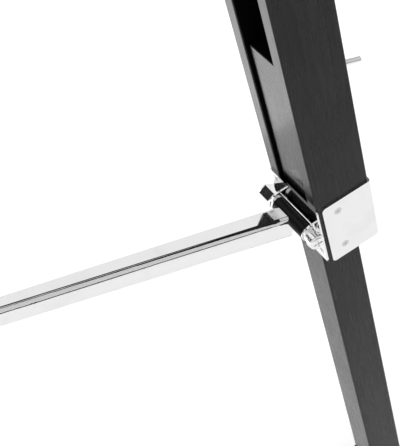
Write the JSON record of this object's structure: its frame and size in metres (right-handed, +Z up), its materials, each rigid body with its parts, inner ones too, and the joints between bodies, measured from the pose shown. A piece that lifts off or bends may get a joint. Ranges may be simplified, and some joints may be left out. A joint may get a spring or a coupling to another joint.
{
  "type": "music stand",
  "caption": "Wooden tripod music stand with folding legs, chrome brackets and spreader arms, telescoping lower legs and post, and a tilting desk with a ledge.",
  "frame": {"origin": "centre of the bounding box on the floor plane", "axes": "+Z up, +Y towards the leg that stands behind the desk, the player at -Y"},
  "size_m": [0.8634, 0.7484, 1.5205],
  "materials": {
    "dark_wood": "satin, dark stained, fine grain",
    "lit_wood": "satin, dark stained, fine grain",
    "chrome": "mirror polished",
    "screws": "polished",
    "sleeve": "black",
    "spacer": "bright",
    "rubber": "matt black",
    "tube": "satin black",
    "post": "polished",
    "knob": "black",
    "casting": "polished casting"
  },
  "bodies": {
    "frame": {"hub": "casting", "centre_tube": "tube", "collar": "casting", "spreader_plate": "casting"},
    "leg_1": {"leg_1_left_rail": "dark_wood", "leg_1_right_rail": "dark_wood", "leg_1_back_web": "dark_wood", "leg_1_saddle": "chrome", "leg_1_bracket": "chrome", "leg_1_screws": "screws", "leg_1_hinge_bolt": "chrome", "leg_1_cap_nut": "chrome", "leg_1_washers": "spacer", "leg_1_top_bolt": "chrome"},
    "arm_1": {"leg_1_sleeve": "sleeve", "leg_1_arm": "chrome"},
    "lower_leg_1": {"leg_1_inner": "lit_wood", "leg_1_foot": "rubber"},
    "lock_peg_1": {"leg_1_lock_peg": "chrome"},
    "leg_2": {"leg_2_left_rail": "dark_wood", "leg_2_right_rail": "dark_wood", "leg_2_back_web": "dark_wood", "leg_2_saddle": "chrome", "leg_2_bracket": "chrome", "leg_2_screws": "screws", "leg_2_hinge_bolt": "chrome", "leg_2_cap_nut": "chrome", "leg_2_washers": "spacer", "leg_2_top_bolt": "chrome"},
    "arm_2": {"leg_2_sleeve": "sleeve", "leg_2_arm": "chrome"},
    "lower_leg_2": {"leg_2_inner": "lit_wood", "leg_2_foot": "rubber"},
    "lock_peg_2": {"leg_2_lock_peg": "chrome"},
    "leg_3": {"leg_3_left_rail": "dark_wood", "leg_3_right_rail": "dark_wood", "leg_3_back_web": "dark_wood", "leg_3_saddle": "chrome", "leg_3_bracket": "chrome", "leg_3_screws": "screws", "leg_3_hinge_bolt": "chrome", "leg_3_cap_nut": "chrome", "leg_3_washers": "spacer", "leg_3_top_bolt": "chrome"},
    "arm_3": {"leg_3_sleeve": "sleeve", "leg_3_arm": "chrome"},
    "lower_leg_3": {"leg_3_inner": "lit_wood", "leg_3_foot": "rubber"},
    "lock_peg_3": {"leg_3_lock_peg": "chrome"},
    "post": {"post": "post", "tilt_head": "casting"},
    "clamp_knob": {"clamp_knob": "knob"},
    "desk": {"desk_panel": "dark_wood", "desk_ledge": "dark_wood", "desk_bracket": "chrome", "tilt_pin": "chrome", "clip_pivots": "chrome"},
    "tilt_knob": {"tilt_knob": "knob"},
    "clip_left": {"clip_left": "chrome"},
    "clip_right": {"clip_right": "chrome"}
  },
  "joints": [
    {"name": "leg_1_fold", "type": "hinge", "parent": "frame", "child": "leg_1", "pos_m": [0, -0.03835, 1.09087], "axis": [1, 0, 0], "range_deg": [-16, 0]},
    {"name": "arm_1_pivot", "type": "hinge", "parent": "leg_1", "child": "arm_1", "pos_m": [0, 0.19066, 0.37396], "axis": [1, 0, 0], "range_deg": [-70, 0]},
    {"name": "lower_leg_1_slide", "type": "slide", "parent": "leg_1", "child": "lower_leg_1", "axis": [0, 0.342, -0.9397], "range_m": [-0.32, 0.02]},
    {"name": "lock_peg_1_pull", "type": "slide", "parent": "leg_1", "child": "lock_peg_1", "axis": [0, 1, 0], "range_m": [0, 0.006], "stiffness_N_per_m": 300, "springref_m": -0.003},
    {"name": "leg_2_fold", "type": "hinge", "parent": "frame", "child": "leg_2", "pos_m": [-0.06648, -0.1535, 1.09087], "axis": [-0.5, 0.866, 0], "range_deg": [-16, 0]},
    {"name": "arm_2_pivot", "type": "hinge", "parent": "leg_2", "child": "arm_2", "pos_m": [-0.26481, -0.268, 0.37396], "axis": [-0.5, 0.866, 0], "range_deg": [-70, 0]},
    {"name": "lower_leg_2_slide", "type": "slide", "parent": "leg_2", "child": "lower_leg_2", "axis": [-0.2962, -0.171, -0.9397], "range_m": [-0.32, 0.02]},
    {"name": "lock_peg_2_pull", "type": "slide", "parent": "leg_2", "child": "lock_peg_2", "axis": [-0.866, -0.5, 0], "range_m": [0, 0.006], "stiffness_N_per_m": 300, "springref_m": -0.003},
    {"name": "leg_3_fold", "type": "hinge", "parent": "frame", "child": "leg_3", "pos_m": [0.06648, -0.1535, 1.09087], "axis": [-0.5, -0.866, 0], "range_deg": [-16, 0]},
    {"name": "arm_3_pivot", "type": "hinge", "parent": "leg_3", "child": "arm_3", "pos_m": [0.26481, -0.268, 0.37396], "axis": [-0.5, -0.866, 0], "range_deg": [-70, 0]},
    {"name": "lower_leg_3_slide", "type": "slide", "parent": "leg_3", "child": "lower_leg_3", "axis": [0.2962, -0.171, -0.9397], "range_m": [-0.32, 0.02]},
    {"name": "lock_peg_3_pull", "type": "slide", "parent": "leg_3", "child": "lock_peg_3", "axis": [0.866, -0.5, 0], "range_m": [0, 0.006], "stiffness_N_per_m": 300, "springref_m": -0.003},
    {"name": "post_slide", "type": "slide", "parent": "frame", "child": "post", "axis": [0, 0, 1], "range_m": [-0.03, 0.2]},
    {"name": "clamp_knob_turn", "type": "hinge", "parent": "frame", "child": "clamp_knob", "pos_m": [0, -0.14311, 1.137], "axis": [0, -1, 0], "range_deg": [-180, 0]},
    {"name": "desk_tilt", "type": "hinge", "parent": "post", "child": "desk", "pos_m": [0, -0.11511, 1.33], "axis": [1, 0, 0], "range_deg": [-50, 12]},
    {"name": "tilt_knob_turn", "type": "hinge", "parent": "desk", "child": "tilt_knob", "pos_m": [0.0184, -0.11511, 1.33], "axis": [1, 0, 0], "range_deg": [0, 180]},
    {"name": "clip_left_turn", "type": "hinge", "parent": "desk", "child": "clip_left", "pos_m": [-0.12, -0.24389, 1.2364], "axis": [0, 0.9397, -0.342], "range_deg": [-90, 0]},
    {"name": "clip_right_turn", "type": "hinge", "parent": "desk", "child": "clip_right", "pos_m": [0.12, -0.24389, 1.2364], "axis": [0, 0.9397, -0.342], "range_deg": [0, 90]}
  ],
  "couplings": [
    {"joint": "arm_1_pivot", "follows": "leg_1_fold", "ratio": 4.375},
    {"joint": "leg_2_fold", "follows": "leg_1_fold", "ratio": 1},
    {"joint": "arm_2_pivot", "follows": "leg_1_fold", "ratio": 4.375},
    {"joint": "leg_3_fold", "follows": "leg_1_fold", "ratio": 1},
    {"joint": "arm_3_pivot", "follows": "leg_1_fold", "ratio": 4.375}
  ]
}
